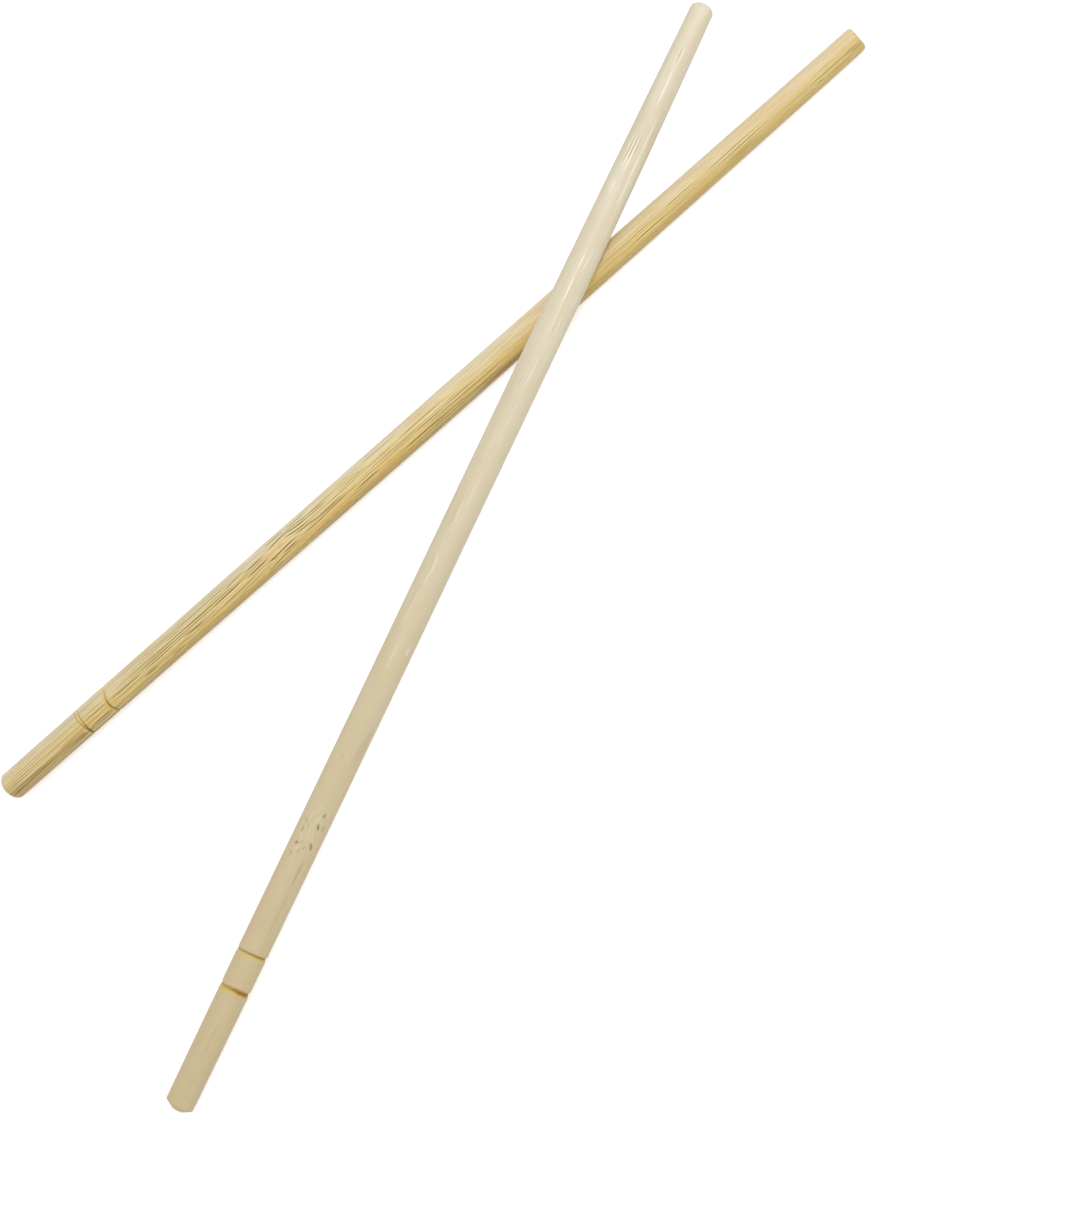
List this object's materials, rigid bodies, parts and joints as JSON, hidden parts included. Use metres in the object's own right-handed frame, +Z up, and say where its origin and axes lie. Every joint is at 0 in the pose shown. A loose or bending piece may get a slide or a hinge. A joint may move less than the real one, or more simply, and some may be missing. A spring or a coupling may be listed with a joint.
{
  "type": "bamboo chopsticks",
  "caption": "Round tapered bamboo chopsticks for single use, with turned rings near the handle ends, lying crossed.",
  "frame": {"origin": "middle of the pair's bounding box, on the table that the pair lies on", "axes": "+X along the golden chopstick from its handle end to its tip, +Z up from the table"},
  "size_m": [0.208, 0.1002, 0.0114],
  "materials": {
    "golden_bamboo": "sanded, satin",
    "pale_bamboo": "sanded, satin"
  },
  "bodies": {
    "root": {"golden_chopstick": "golden_bamboo", "pale_chopstick": "pale_bamboo"}
  },
  "joints": []
}
